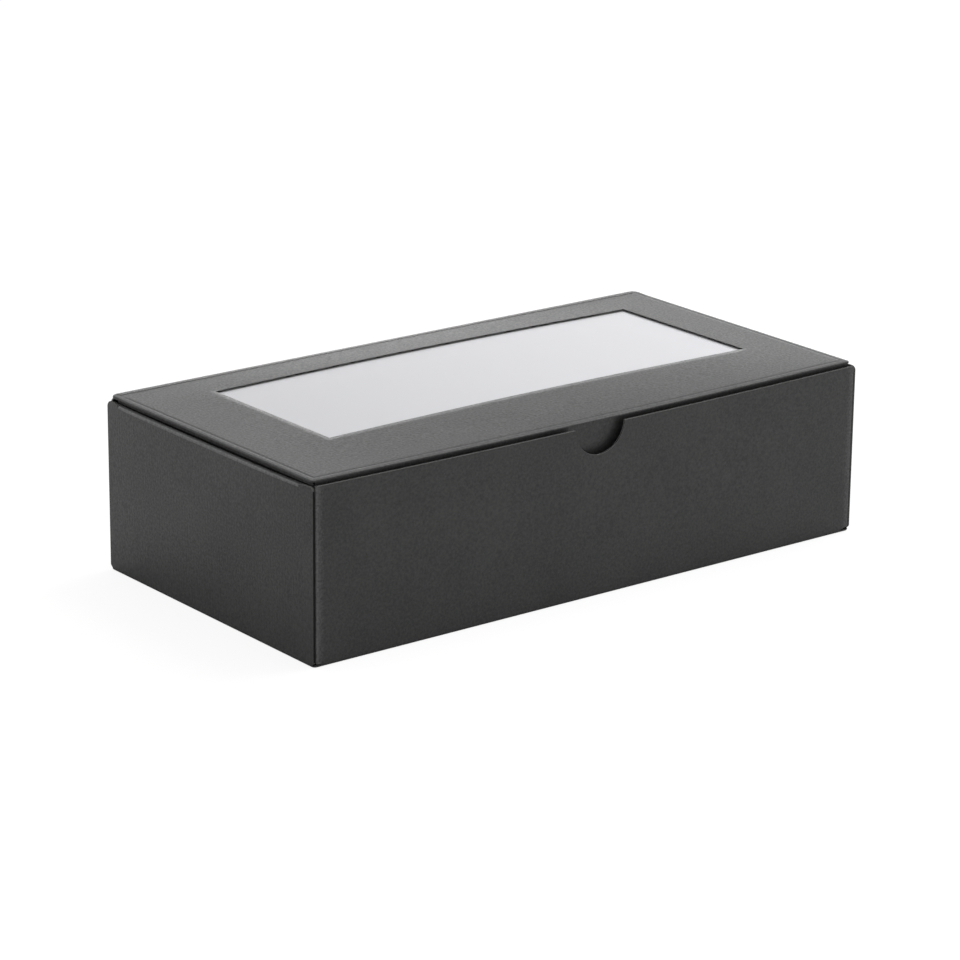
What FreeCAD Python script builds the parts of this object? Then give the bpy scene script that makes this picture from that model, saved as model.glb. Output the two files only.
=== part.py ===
# A display carton of black micro-flute board: a tray with rolled double side walls,
# a hinged lid with a clear window over white fibre, and three flaps that tuck in.
# Frame: +X along the length, -Y is the thumb-notch front, +Z up.
# The origin is the middle of the base. Lengths are millimetres.
import FreeCAD, Part
import math
import os
import Sketcher

Vector = FreeCAD.Vector
Rotation = FreeCAD.Rotation

# Each driving size: its sheet name, its value and what it measures.
DRIVING_SIZES = (
    ("box_length", 360.0, "outside of one side wall to outside of the other"),
    ("box_depth", 185.0, "outside of the front wall to outside of the back wall"),
    ("wall_height", 94.0, "table to the top of the front wall"),
    ("ridge_drop", 1.6, "rolled ridge of a side wall below the front wall's top"),
    ("board", 1.2, "thickness of the micro-flute board"),
    ("fold_share", 0.8, "outer radius of a fold, as a share of the board"),
    ("lid_rise", 0.8, "space under the lid, which springs up a little when shut"),
    ("lid_side_gap", 0.4, "play between a side flap and the inner side wall"),
    ("lid_front_gap", 1.8, "play between the front flap and the front wall"),
    ("crease_gap", 0.3, "clearance in a moving crease"),
    ("lid_overhang", 2.5, "lid's side edges beyond the side flaps, over the ridges"),
    ("lid_corner_radius", 1.6, "small relief at the lid's front corners"),
    ("score_inset", 3.4, "lid edge to the pressed score line beside it"),
    ("score_width", 0.9, "width of the pressed score line"),
    ("score_press", 0.3, "depth of the pressed score line"),
    ("notch_radius", 16.5, "thumb notch"),
    ("window_length", 278.0, "window opening along the box"),
    ("window_width", 102.0, "window opening across the box"),
    ("window_right", 7.6, "window centre to the right of the box centre"),
    ("window_back", 12.5, "window centre behind the box centre"),
    ("film", 0.15, "thickness of the window film"),
    ("glue", 0.15, "thickness of the glue line that holds the film"),
    ("glue_inset", 1.5, "window edge to the glue line"),
    ("glue_width", 4.0, "width of the glue line"),
    ("film_edge", 1.0, "film beyond the glue line"),
    ("ridge_end", 11.0, "end of the rolled ridge to the wall's end"),
    ("wall_end_drop", 0.4, "raw side wall ends below the front wall's top"),
    ("wall_end_radius", 2.5, "rounding of the raw wall ends"),
    ("inner_end_gap", 0.3, "inner side wall to the front and back walls"),
    ("tab_length", 30.0, "locking tab along the wall"),
    ("tab_spread", 46.0, "locking tab centre to the wall's middle"),
    ("tab_lead", 2.0, "slope at each end of a locking tab"),
    ("tab_short", 0.2, "locking tab short of the underside"),
    ("slot_play", 0.2, "play round a locking tab in its slot"),
    ("corner_flap_reach", 62.0, "length of a corner flap"),
    ("corner_flap_drop", 0.5, "corner flap below the ridge and above the base"),
    ("corner_flap_taper", 7.0, "slope of a corner flap's free end"),
    ("corner_flap_radius", 5.0, "rounding of a corner flap's free end"),
    ("tuck_reach", 30.0, "height of the front flap"),
    ("tuck_tilt", 2.5, "lean of the front flap into the box, degrees"),
    ("mitre_gap", 0.8, "front flap's end to the side flaps"),
    ("tuck_corner_radius", 4.0, "rounding of the front flap's lower corners"),
    ("dust_reach", 18.0, "height of a side flap"),
    ("dust_front_gap", 1.7, "lid's front edge to a side flap"),
    ("dust_back_gap", 8.0, "lid's back edge to a side flap"),
    ("dust_back_slope", 5.0, "slope of a side flap's back end"),
    ("dust_corner_radius", 2.5, "rounding of a side flap's lower corners"),
    ("fibre_wall_gap", 0.5, "fibre to the walls"),
    ("fibre_layer_gap", 0.3, "between one fibre layer and the next"),
    ("fibre_flap_gap", 1.3, "fibre to where the flaps swing"),
    ("fibre_corner_radius", 12.0, "rounded corners of a fibre layer, seen from above"),
    ("fibre_edge_radius", 7.0, "soft edges of the lower fibre layers"),
    ("fibre_top_radius", 4.5, "soft edges of the top fibre layer"),
)
LEFT, FRONT, RIGHT, BACK = -90, 0, 90, 180
NEAR = 1e-4


class Size:
    """A length with the sheet formula that gives it, so a number and its binding agree."""

    def __init__(self, value, formula=None):
        self.value = float(value)
        self.formula = formula or repr(float(value))

    def __add__(self, other):
        other = as_size(other)
        return Size(self.value + other.value, f"({self.formula} + {other.formula})")

    def __sub__(self, other):
        other = as_size(other)
        return Size(self.value - other.value, f"({self.formula} - {other.formula})")

    def __mul__(self, factor):
        factor = as_size(factor)
        return Size(self.value * factor.value, f"({self.formula} * {factor.formula})")

    def __truediv__(self, divisor):
        return Size(self.value / divisor, f"({self.formula} / {float(divisor)!r})")

    def __neg__(self):
        return Size(-self.value, f"(-1 * {self.formula})")


def as_size(value):
    return value if isinstance(value, Size) else Size(value)


class Sheet:
    """The driving sizes, each a sheet cell, read as attributes."""

    def __init__(self, document):
        self.cells = document.addObject("Spreadsheet::Sheet", "Sizes")
        for row, (alias, value, meaning) in enumerate(DRIVING_SIZES, 1):
            self.cells.set(f"A{row}", meaning)
            self.cells.set(f"B{row}", str(value))
            self.cells.setAlias(f"B{row}", alias)
            setattr(self, alias, Size(value, f"Sizes.{alias}"))


class Carton:
    """Sizes that several pieces share, worked out from the driving ones."""

    def __init__(self, sheet):
        self.half_length = sheet.box_length / 2
        self.half_depth = sheet.box_depth / 2
        self.fold = sheet.board * sheet.fold_share
        self.inner_front = self.half_depth - sheet.board
        self.ridge_width = sheet.board * 3
        self.ridge_base = sheet.wall_height - sheet.ridge_drop - sheet.board
        self.lid_under = sheet.wall_height + sheet.lid_rise
        self.back_top = self.lid_under - sheet.crease_gap
        self.lid_half = self.half_length - self.ridge_width - sheet.lid_side_gap
        self.lid_edge = self.lid_half + sheet.lid_overhang
        self.lid_front = self.inner_front - sheet.lid_front_gap
        self.lid_back = self.half_depth - sheet.crease_gap
        self.flap_top = self.lid_under - sheet.crease_gap
        self.dust_face = self.lid_half - sheet.board
        self.tuck_face = self.lid_front - sheet.board
        self.film_under = self.lid_under - sheet.glue - sheet.film
        self.top_layer_base = self.flap_top - sheet.tuck_reach - sheet.fibre_flap_gap


def bind(target, path, size):
    target.setExpression(path, as_size(size).formula)


def new_body(document, label):
    body = document.addObject("PartDesign::Body", label)
    body.Label = label
    return body


def new_sketch(body, name, role="XY_Plane"):
    """An empty sketch on one of the body's own origin planes."""
    plane = next(f for f in body.Origin.OriginFeatures if f.Role == role)
    sketch = body.newObject("Sketcher::SketchObject", name)
    sketch.AttachmentSupport = (plane, [""])
    sketch.MapMode = "FlatFace"
    return sketch


def pin(sketch, kind, line, size):
    """Holds a line's first point at a distance from the sketch's origin."""
    size = as_size(size)
    index = sketch.addConstraint(Sketcher.Constraint(kind, -1, 1, line, 1, size.value))
    bind(sketch, f"Constraints[{index}]", size)


def draw_outline(sketch, corners):
    """A closed chain of straight lines through the corners, each held to the sheet."""
    first = sketch.GeometryCount
    count = len(corners)
    points = [Vector(as_size(x).value, as_size(y).value, 0) for x, y in corners]
    for i in range(count):
        sketch.addGeometry(Part.LineSegment(points[i], points[(i + 1) % count]), False)
    for i in range(count):
        following = first + (i + 1) % count
        sketch.addConstraint(Sketcher.Constraint("Coincident", first + i, 2, following, 1))
    for i, (x, y) in enumerate(corners):
        pin(sketch, "DistanceX", first + i, x)
        pin(sketch, "DistanceY", first + i, y)


def rectangle(left, right, low, high):
    return [(left, low), (right, low), (right, high), (left, high)]


def raise_pad(body, sketch, height):
    pad = body.newObject("PartDesign::Pad", f"{body.Label}_pad")
    pad.Profile = sketch
    bind(pad, "Length", height)
    body.Document.recompute()
    return pad


def cut_through(body, sketch, name):
    """Cuts the sketch's outline through the whole piece, to both sides of its plane."""
    before = body.Shape.Volume
    pocket = body.newObject("PartDesign::Pocket", name)
    pocket.Profile = sketch
    pocket.Type = "ThroughAll"
    pocket.SideType = "Symmetric"
    body.Document.recompute()
    if not pocket.Shape.Volume < before:
        raise RuntimeError(f"{name} cuts nothing")
    return pocket


def edge_names(shape, wanted):
    """Names of the edges that the test picks."""
    return [f"Edge{i}" for i, edge in enumerate(shape.Edges, 1) if wanted(edge)]


def upright_at(corners):
    """A test for edges that run through the board at the given outline corners."""
    places = [(as_size(x).value, as_size(y).value) for x, y in corners]

    def wanted(edge):
        box = edge.BoundBox
        if box.ZLength < NEAR or box.XLength > NEAR or box.YLength > NEAR:
            return False
        return any(math.hypot(box.XMin - x, box.YMin - y) < NEAR for x, y in places)

    return wanted


def on_rim(level, sides):
    """A test for edges at one level that lie along the named sides of the outline."""
    level = as_size(level).value
    limits = {name: as_size(size).value for name, size in sides.items()}
    ends = {"left": "X", "right": "X", "low": "Y", "high": "Y"}

    def wanted(edge):
        box = edge.BoundBox
        if abs(box.ZMin - level) > NEAR or abs(box.ZMax - level) > NEAR:
            return False
        for name, place in limits.items():
            axis = ends[name]
            near = getattr(box, axis + "Min")
            far = getattr(box, axis + "Max")
            if abs(near - place) < NEAR and abs(far - place) < NEAR:
                return True
        return False

    return wanted


def round_edges(body, name, radius, wanted):
    """Rounds the wanted edges of the body's last feature."""
    base = body.Tip
    edges = edge_names(base.Shape, wanted)
    if not edges:
        raise RuntimeError(f"{name} finds no edge to round")
    fillet = body.newObject("PartDesign::Fillet", name)
    fillet.Base = (base, edges)
    bind(fillet, "Radius", radius)
    body.Document.recompute()
    return fillet


def place(body, x, y, z, rotation=None):
    """Puts a piece at a point bound to the sheet, turned as given."""
    point = [as_size(v) for v in (x, y, z)]
    base = Vector(*[size.value for size in point])
    body.Placement = FreeCAD.Placement(base, rotation or Rotation())
    for axis, size in zip("xyz", point):
        bind(body, f"Placement.Base.{axis}", size)


def standing(side, tilt=0.0):
    """Stands a flat panel up with its outer face to one side of the box.

    The panel's own X then runs along the wall, its Y up, and its Z outwards.
    """
    about_z = Rotation(Vector(0, 0, 1), side)
    return about_z * Rotation(Vector(1, 0, 0), 90 + tilt)


def side_sign(side):
    return {LEFT: -1, RIGHT: 1, FRONT: -1, BACK: 1}[side]


def board_panel(document, label, outline, thickness):
    """A flat piece of board: its outline raised to its thickness."""
    body = new_body(document, label)
    sketch = new_sketch(body, f"{label}_outline")
    draw_outline(sketch, outline)
    raise_pad(body, sketch, thickness)
    return body


def make_bottom(document, sheet, carton):
    """The base, with two lock slots at each end and soft folds all round below."""
    length, depth = carton.half_length, carton.half_depth
    outline = rectangle(-length, length, -depth, depth)
    body = board_panel(document, "bottom_panel", outline, sheet.board)
    slots = new_sketch(body, "lock_slots")
    outer = carton.half_length - sheet.board * 2 + sheet.slot_play
    inner = carton.half_length - sheet.board * 3 - sheet.slot_play
    half_slot = sheet.tab_length / 2 + sheet.slot_play
    for across in (-1, 1):
        for along in (-1, 1):
            centre = sheet.tab_spread * along
            x_pair = sorted((inner * across, outer * across), key=lambda s: s.value)
            low, high = centre - half_slot, centre + half_slot
            draw_outline(slots, rectangle(x_pair[0], x_pair[1], low, high))
    cut_through(body, slots, "lock_slot_cut")
    sides = {"left": -length, "right": length, "low": -depth, "high": depth}
    round_edges(body, "base_folds", carton.fold, on_rim(0, sides))
    place(body, 0, 0, 0)
    return body


def make_front_wall(document, sheet, carton):
    """The front wall with its thumb notch; its ends fold round into the corner flaps."""
    half = carton.half_length - sheet.board
    outline = rectangle(-half, half, sheet.board, sheet.wall_height)
    body = board_panel(document, "front_wall", outline, sheet.board)
    ends = {"left": -half, "right": half}
    round_edges(body, "front_end_folds", carton.fold, on_rim(sheet.board, ends))
    notch = new_sketch(body, "thumb_notch")
    circle = notch.addGeometry(
        Part.Circle(Vector(0, sheet.wall_height.value, 0), Vector(0, 0, 1), sheet.notch_radius.value),
        False,
    )
    notch.addConstraint(Sketcher.Constraint("PointOnObject", circle, 3, -2))
    height = notch.addConstraint(
        Sketcher.Constraint("DistanceY", -1, 1, circle, 3, sheet.wall_height.value)
    )
    bind(notch, f"Constraints[{height}]", sheet.wall_height)
    radius = notch.addConstraint(Sketcher.Constraint("Radius", circle, sheet.notch_radius.value))
    bind(notch, f"Constraints[{radius}]", sheet.notch_radius)
    cut_through(body, notch, "thumb_notch_cut")
    place(body, 0, -carton.inner_front, 0, standing(FRONT))
    return body


def make_back_wall(document, sheet, carton):
    """The back wall, up to the crease that carries the lid."""
    half = carton.half_length - sheet.board
    outline = rectangle(-half, half, sheet.board, carton.back_top)
    body = board_panel(document, "back_wall", outline, sheet.board)
    ends = {"left": -half, "right": half}
    round_edges(body, "back_end_folds", carton.fold, on_rim(sheet.board, ends))
    place(body, 0, carton.inner_front, 0, standing(BACK))
    return body


def make_outer_wall(document, sheet, carton, side, label):
    """An outer side wall: its raw ends slope up from the ridge to the wall's corners."""
    half = carton.half_depth
    ridge = half - sheet.ridge_end
    end_top = sheet.wall_height - sheet.wall_end_drop
    ridge_top = carton.ridge_base + sheet.board
    outline = [
        (-half, sheet.board),
        (half, sheet.board),
        (half, end_top),
        (ridge, ridge_top),
        (ridge, carton.ridge_base),
        (-ridge, carton.ridge_base),
        (-ridge, ridge_top),
        (-half, end_top),
    ]
    body = board_panel(document, label, outline, sheet.board)
    top_corners = [(half, end_top), (-half, end_top)]
    round_edges(body, f"{label}_ends", sheet.wall_end_radius, upright_at(top_corners))
    inner_face = (carton.half_length - sheet.board) * side_sign(side)
    place(body, inner_face, 0, 0, standing(side))
    return body


def make_ridge(document, sheet, carton, side, label):
    """The rolled ridge between the two boards of a side wall, its ends cut at a slant."""
    half = carton.half_depth - sheet.ridge_end
    width = carton.ridge_width
    outline = [
        (-half + sheet.board, 0),
        (half - sheet.board, 0),
        (half, sheet.board),
        (half, width),
        (-half, width),
        (-half, sheet.board),
    ]
    body = board_panel(document, label, outline, sheet.board)
    long_sides = {"low": 0, "high": width}
    round_edges(body, f"{label}_folds", carton.fold, on_rim(sheet.board, long_sides))
    outer_face = carton.half_length * side_sign(side)
    place(body, outer_face, 0, carton.ridge_base, Rotation(Vector(0, 0, 1), side))
    return body


def inner_wall_outline(sheet, carton):
    """The inner side wall seen flat: a plain rectangle with two sloped tabs below."""
    half = carton.inner_front - sheet.inner_end_gap
    seat, tip = sheet.board, sheet.tab_short
    corners = [(-half, seat)]
    for along in (-1, 1):
        centre = sheet.tab_spread * along
        root = sheet.tab_length / 2
        point = root - sheet.tab_lead
        corners.append((centre - root, seat))
        corners.append((centre - point, tip))
        corners.append((centre + point, tip))
        corners.append((centre + root, seat))
    corners.append((half, seat))
    corners.append((half, carton.ridge_base))
    corners.append((-half, carton.ridge_base))
    return corners


def make_inner_wall(document, sheet, carton, side, label):
    """An inner side wall, locked into the base by its tabs."""
    body = board_panel(document, label, inner_wall_outline(sheet, carton), sheet.board)
    inner_face = (carton.half_length - carton.ridge_width) * side_sign(side)
    place(body, inner_face, 0, 0, standing(side))
    return body


def make_corner_flap(document, sheet, carton, side, end, label):
    """A flap folded from the front or back wall in between the two side boards.

    The end is +1 or -1: which way along the wall's own X it starts from.
    """
    start = carton.inner_front
    reach = start - sheet.corner_flap_reach
    low = sheet.board + sheet.corner_flap_drop
    high = carton.ridge_base - sheet.corner_flap_drop
    slope = sheet.corner_flap_taper
    corners = [(start, low), (start, high), (reach, high - slope), (reach, low + slope)]
    outline = [(x * end, y) for x, y in corners]
    body = board_panel(document, label, outline, sheet.board)
    free_corners = upright_at(outline[2:])
    round_edges(body, f"{label}_round", sheet.corner_flap_radius, free_corners)
    inner_face = (carton.half_length - sheet.board * 2) * side_sign(side)
    place(body, inner_face, 0, 0, standing(side))
    return body


def window_sides(sheet, margin=0.0):
    """Left, right, low and high side of the window, each moved out by a margin."""
    half_length = sheet.window_length / 2 + margin
    half_width = sheet.window_width / 2 + margin
    left, right = sheet.window_right - half_length, sheet.window_right + half_length
    low, high = sheet.window_back - half_width, sheet.window_back + half_width
    return left, right, low, high


def make_lid(document, sheet, carton):
    """The lid: window, soft folds on all four edges and a score line beside three."""
    half, front, back = carton.lid_edge, carton.lid_front, carton.lid_back
    body = new_body(document, "lid_panel")
    sketch = new_sketch(body, "lid_outline")
    draw_outline(sketch, rectangle(-half, half, -front, back))
    draw_outline(sketch, rectangle(*window_sides(sheet)))
    raise_pad(body, sketch, sheet.board)
    front_corners = upright_at([(-half, -front), (half, -front)])
    round_edges(body, "lid_corners", sheet.lid_corner_radius, front_corners)
    sides = {"left": -half, "right": half, "low": -front, "high": back}
    round_edges(body, "lid_folds", carton.fold, on_rim(sheet.board, sides))
    add_side_scores(body, sheet, carton)
    add_front_score(body, sheet, carton)
    place(body, 0, 0, carton.lid_under)
    return body


def score_profile(sheet, centre):
    """A shallow V that opens above the board's outer face."""
    half_width = sheet.score_width / 2
    bottom = sheet.board - sheet.score_press
    over = sheet.board + sheet.score_press
    return [(centre - half_width * 2, over), (centre, bottom), (centre + half_width * 2, over)]


def add_side_scores(body, sheet, carton):
    """Score lines along the two short sides of the lid."""
    sketch = new_sketch(body, "side_scores", "XZ_Plane")
    for across in (-1, 1):
        centre = (carton.lid_edge - sheet.score_inset) * across
        draw_outline(sketch, score_profile(sheet, centre))
    cut_through(body, sketch, "side_score_cut")


def add_front_score(body, sheet, carton):
    """The score line along the front of the lid."""
    sketch = new_sketch(body, "front_score", "YZ_Plane")
    centre = -carton.lid_front + sheet.score_inset
    draw_outline(sketch, score_profile(sheet, centre))
    cut_through(body, sketch, "front_score_cut")


def make_tuck_flap(document, sheet, carton):
    """The front flap, mitred at its ends so that it folds in beside the side flaps."""
    half = carton.dust_face - sheet.mitre_gap
    reach = sheet.tuck_reach
    outline = [(-half, 0), (-half + reach, -reach), (half - reach, -reach), (half, 0)]
    body = board_panel(document, "lid_tuck_flap", outline, sheet.board)
    lower = upright_at(outline[1:3])
    round_edges(body, "tuck_corners", sheet.tuck_corner_radius, lower)
    tilt = sheet.tuck_tilt.value
    place(body, 0, -carton.tuck_face, carton.flap_top, standing(FRONT, tilt))
    return body


def make_dust_flap(document, sheet, carton, side, label):
    """A side flap: mitred in front, sloped behind, where it has to clear the hinge."""
    front = -(carton.lid_front - sheet.dust_front_gap)
    back = carton.lid_back - sheet.dust_back_gap
    reach = sheet.dust_reach
    slope_foot = back - sheet.dust_back_slope
    corners = [(front, 0), (front + reach, -reach), (slope_foot, -reach), (back, 0)]
    outline = [(y * side_sign(side), z) for y, z in corners]
    body = board_panel(document, label, outline, sheet.board)
    lower = upright_at(outline[1:3])
    round_edges(body, f"{label}_corners", sheet.dust_corner_radius, lower)
    inner_face = carton.dust_face * side_sign(side)
    place(body, inner_face, 0, carton.flap_top, standing(side))
    return body


def make_film(document, sheet, carton):
    """The clear film behind the window."""
    margin = sheet.glue_inset + sheet.glue_width + sheet.film_edge
    body = board_panel(document, "window_film", rectangle(*window_sides(sheet, margin)), sheet.film)
    place(body, 0, 0, carton.film_under)
    return body


def make_glue_line(document, sheet, carton):
    """The frame of glue between the film and the lid."""
    body = new_body(document, "film_glue_line")
    sketch = new_sketch(body, "glue_outline")
    draw_outline(sketch, rectangle(*window_sides(sheet, sheet.glue_inset + sheet.glue_width)))
    draw_outline(sketch, rectangle(*window_sides(sheet, sheet.glue_inset)))
    raise_pad(body, sketch, sheet.glue)
    place(body, 0, 0, carton.film_under + sheet.film)
    return body


def fibre_layer(document, label, outline, base, thickness, corner_radius, edge_radius):
    """A layer of fibre: rounded corners from above and soft edges above and below."""
    body = board_panel(document, label, outline, thickness)
    round_edges(body, f"{label}_corners", corner_radius, upright_at(outline))
    levels = (0.0, thickness.value)

    def on_top_or_bottom(edge):
        box = edge.BoundBox
        return box.ZLength < NEAR and any(abs(box.ZMin - z) < NEAR for z in levels)

    round_edges(body, f"{label}_soft_edges", edge_radius, on_top_or_bottom)
    place(body, 0, 0, base)
    return body


def make_lower_fibre(document, sheet, carton):
    """Two equal layers of fibre, wall to wall, from the base to below the flaps."""
    bottom = sheet.board + sheet.fibre_layer_gap
    thickness = (carton.top_layer_base - bottom) / 2 - sheet.fibre_layer_gap
    half = carton.half_length - carton.ridge_width - sheet.fibre_wall_gap
    depth = carton.inner_front - sheet.fibre_wall_gap
    outline = rectangle(-half, half, -depth, depth)
    corner, soft = sheet.fibre_corner_radius, sheet.fibre_edge_radius
    upper = bottom + thickness + sheet.fibre_layer_gap
    return [
        fibre_layer(document, "fibre_bottom_layer", outline, bottom, thickness, corner, soft),
        fibre_layer(document, "fibre_middle_layer", outline, upper, thickness, corner, soft),
    ]


def make_top_fibre(document, sheet, carton):
    """The layer up to just under the film, cut back from where the three flaps swing."""
    base = carton.top_layer_base
    thickness = carton.film_under - sheet.fibre_layer_gap - base
    half = carton.dust_face - sheet.dust_reach - sheet.fibre_flap_gap
    front = -(carton.tuck_face - sheet.tuck_reach - sheet.fibre_flap_gap)
    depth = carton.inner_front - sheet.fibre_wall_gap
    outline = rectangle(-half, half, front, depth)
    corner, soft = sheet.fibre_corner_radius, sheet.fibre_top_radius
    return fibre_layer(document, "fibre_top_layer", outline, base, thickness, corner, soft)


def make_pieces(document, sheet, carton):
    """Every piece of the carton, in the order in which it is put together."""
    pieces = [make_bottom(document, sheet, carton)]
    pieces.append(make_front_wall(document, sheet, carton))
    pieces.append(make_back_wall(document, sheet, carton))
    for side, name in ((LEFT, "left"), (RIGHT, "right")):
        pieces.append(make_outer_wall(document, sheet, carton, side, f"{name}_outer_wall"))
        pieces.append(make_ridge(document, sheet, carton, side, f"{name}_wall_ridge"))
        pieces.append(make_inner_wall(document, sheet, carton, side, f"{name}_inner_wall"))
        for end, where in ((-1, "front"), (1, "back")):
            towards = end * side_sign(side)
            label = f"{where}_{name}_corner_flap"
            pieces.append(make_corner_flap(document, sheet, carton, side, towards, label))
        pieces.append(make_dust_flap(document, sheet, carton, side, f"lid_{name}_dust_flap"))
    pieces.append(make_lid(document, sheet, carton))
    pieces.append(make_tuck_flap(document, sheet, carton))
    pieces.append(make_glue_line(document, sheet, carton))
    pieces.append(make_film(document, sheet, carton))
    pieces.extend(make_lower_fibre(document, sheet, carton))
    pieces.append(make_top_fibre(document, sheet, carton))
    return pieces


def check_document(document, pieces):
    """Stops before anything is written if a feature failed or a solid isn't sound."""
    for item in document.Objects:
        if "Invalid" in item.State or "Error" in item.State:
            raise RuntimeError(f"{item.Label} failed: {item.State}")
    for piece in pieces:
        shape = piece.Shape
        if shape.isNull() or not shape.isValid() or len(shape.Solids) != 1:
            raise RuntimeError(f"{piece.Label} is not one sound solid")


def write_steps(pieces):
    os.makedirs("parts", exist_ok=True)
    for piece in pieces:
        piece.Shape.exportStep(f"parts/{piece.Label}.step")
        box = piece.Shape.BoundBox
        print(
            f"{piece.Label}: x {box.XMin:.2f} {box.XMax:.2f}  y {box.YMin:.2f} {box.YMax:.2f}"
            f"  z {box.ZMin:.2f} {box.ZMax:.2f}  volume {piece.Shape.Volume:.0f}"
        )


def main():
    document = FreeCAD.newDocument("DisplayCarton")
    sheet = Sheet(document)
    document.recompute()
    pieces = make_pieces(document, sheet, Carton(sheet))
    document.recompute()
    check_document(document, pieces)
    write_steps(pieces)


main()
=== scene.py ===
import math

import bmesh
import bpy
import numpy as np
from mathutils import Matrix, Vector


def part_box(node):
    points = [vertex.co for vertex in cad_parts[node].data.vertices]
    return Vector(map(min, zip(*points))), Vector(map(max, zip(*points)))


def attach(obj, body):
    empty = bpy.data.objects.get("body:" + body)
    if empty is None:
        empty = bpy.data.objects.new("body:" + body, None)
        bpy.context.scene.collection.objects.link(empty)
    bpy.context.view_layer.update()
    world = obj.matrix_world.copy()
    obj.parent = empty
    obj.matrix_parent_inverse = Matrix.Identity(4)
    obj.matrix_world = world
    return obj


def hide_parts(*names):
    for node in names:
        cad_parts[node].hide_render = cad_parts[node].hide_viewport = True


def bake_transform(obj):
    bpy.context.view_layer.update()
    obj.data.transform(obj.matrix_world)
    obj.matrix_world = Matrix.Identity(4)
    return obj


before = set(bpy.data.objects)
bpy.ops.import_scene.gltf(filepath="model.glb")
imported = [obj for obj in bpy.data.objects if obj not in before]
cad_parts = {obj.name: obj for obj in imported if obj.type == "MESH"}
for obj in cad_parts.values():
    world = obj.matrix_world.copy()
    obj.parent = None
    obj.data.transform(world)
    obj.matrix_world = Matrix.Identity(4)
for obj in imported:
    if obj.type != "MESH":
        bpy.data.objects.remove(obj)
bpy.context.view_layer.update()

MM = 0.001
BOARD = 1.2  # micro-flute board
FOLD = 0.96  # outer radius of a crease
CRUSH = 0.12  # how far a cut edge is rounded by the cutting rule
BEND = 1.6  # outer radius where a wall turns into its corner flap
SEAM = 0.45  # the dark line between that bend and the side wall's raw end
TIGHT_BEND, TIGHT_SEAM = 0.5, 0.03  # the same at the front right corner, pressed flat
FLUTE = 2.4  # from one flute of the board to the next
LINER = 0.22  # thickness of each paper liner, drawn a little coarse
TUCK_LEAN = math.radians(2.5)
CREASE_PAPER = 0.1  # the liner alone, where it bridges a moving crease
SIDE_BOW, FRONT_BOW, FRONT_SAG = 2.0, 1.2, 0.8  # spring-back of the side and front walls
LEAN_POWER = 1.6  # how the lean grows with height
LID_SPRING = 0.35  # how far the shut lid stands up at its front corners
RUB_HIGHLIGHT_REACH = 1.6  # how far past a fold the rubbed paper and its painted highlight run, in fold radii
PROUD = 0.4  # how far the rolled paper springs up


def reach(node):
    """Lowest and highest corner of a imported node, in millimetres."""
    low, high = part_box(node)
    return np.array(low) / MM, np.array(high) / MM


BASE_HIGH = reach("bottom_panel")[1]
FRONT_LOW, FRONT_HIGH = reach("front_wall")
BACK_LOW, BACK_HIGH = reach("back_wall")
OUTER_LOW, OUTER_HIGH = reach("left_outer_wall")
RIDGE_LOW, RIDGE_HIGH = reach("left_wall_ridge")
INNER_LOW, INNER_HIGH = reach("left_inner_wall")
for corner in (RIDGE_LOW, RIDGE_HIGH, INNER_HIGH):
    corner[2] += PROUD
FLAP_LOW, FLAP_HIGH = reach("back_left_corner_flap")
DUST_LOW, DUST_HIGH = reach("lid_left_dust_flap")
LID_LOW, LID_HIGH = reach("lid_panel")
TUCK_LOW, TUCK_HIGH = reach("lid_tuck_flap")
FILM_LOW, FILM_HIGH = reach("window_film")
GLUE_LOW, GLUE_HIGH = reach("film_glue_line")
GLUE_INSET = 5.5  # from the glue's outer edge in to the window
WINDOW_LOW = GLUE_LOW[:2] + GLUE_INSET
WINDOW_HIGH = GLUE_HIGH[:2] - GLUE_INSET
NOTCH_RADIUS = 16.5
WALL_TOP = FRONT_HIGH[2]
WALL_END_TOP = WALL_TOP - 0.4
LID_FRONT_CORNER = 1.6  # rounding of the lid's front corners
LID_BACK_CORNER = 4.0  # and of those beside the hinge
BACK_CORNER = 4.0  # rounding of the side walls' top back corners
RIDGE_RUN = 7.5  # how far the ridge runs on behind the raised wall ends
CORNER = 2.5  # rounding of the side walls' four raw corners, and of the base below them

# The lid's rise over its flat shape along its middle: a cubic through the hinge, the two
# long sides of the window and the front edge.
CROWN_Y = (LID_HIGH[1], WINDOW_HIGH[1], WINDOW_LOW[1], LID_LOW[1])
CROWN = np.polyfit(CROWN_Y, (0.0, 1.7, 1.9, -1.1), 3)


# How the folded board departs from flat. Each is nothing where the board is held.

def bulge(place, half, power):
    """Nothing at plus and minus half, and one in the middle: 1 - |place / half|^power."""
    return np.clip(1 - np.abs(place / half) ** power, 0, None)


def side_bow(y, z, most):
    """A side wall leans out along its top, evenly but for its held ends."""
    return most * bulge(y, BASE_HIGH[1], 4) * np.clip(z / WALL_TOP, 0, 1) ** LEAN_POWER


def front_bow(x, z):
    """The front wall leans out too, most of all in the middle."""
    return FRONT_BOW * bulge(x, BASE_HIGH[0], 2) * np.clip(z / WALL_TOP, 0, 1) ** LEAN_POWER


def front_dip(x):
    """The cut top of the front wall sags a little between its corners."""
    return FRONT_SAG * bulge(x, FRONT_HIGH[0], 2)


def lid_lift(x, y):
    """The shut lid springs up at its front corners, and crowns along its middle.

    Between the long sides of the window the crown is a straight line, as the film is.
    """
    spring = LID_SPRING * (LID_HIGH[1] - y) / (LID_HIGH[1] - LID_LOW[1])
    far, near = CROWN_Y[1], CROWN_Y[2]
    film_line = np.interp(y, (near, far), np.polyval(CROWN, (near, far)))
    crown = np.where((y > near) & (y < far), film_line, np.polyval(CROWN, y))
    return spring + crown * bulge(x, LID_HIGH[0], 2) ** 1.5


# Meshes from grids of points.

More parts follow.
